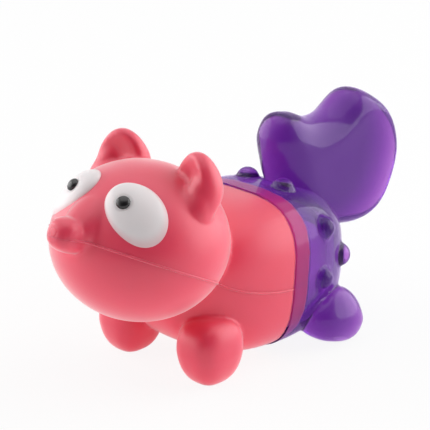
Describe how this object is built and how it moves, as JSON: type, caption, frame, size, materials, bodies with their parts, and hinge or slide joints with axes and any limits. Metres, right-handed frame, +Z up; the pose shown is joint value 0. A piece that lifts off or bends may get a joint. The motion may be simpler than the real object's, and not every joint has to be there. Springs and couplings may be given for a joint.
{
  "type": "fox dog toy",
  "caption": "Squeaky rubber fox for dogs: hollow coral front with domed eyes and cupped ears, clear purple nubbed rear cup with stub legs and a heart-like tail.",
  "frame": {"origin": "on the floor under the middle of the toy's bounding box", "axes": "+Z up; the fox faces -Y; its left side is +X"},
  "size_m": [0.0556, 0.1282, 0.0648],
  "materials": {
    "coral_rubber": "satin moulded rubber",
    "clear_purple_rubber": "glossy see-through rubber",
    "white_eye": "satin white",
    "black_pupil": "gloss black",
    "squeaker_plastic": "natural moulded plastic"
  },
  "bodies": {
    "root": {"upper_shell": "coral_rubber", "lower_shell": "coral_rubber", "rear_shell": "clear_purple_rubber", "eye_left": "white_eye", "eye_right": "white_eye", "pupil_left": "black_pupil", "pupil_right": "black_pupil", "squeaker_body": "squeaker_plastic", "squeaker_reed": "squeaker_plastic", "squeaker_cap": "squeaker_plastic"}
  },
  "joints": []
}
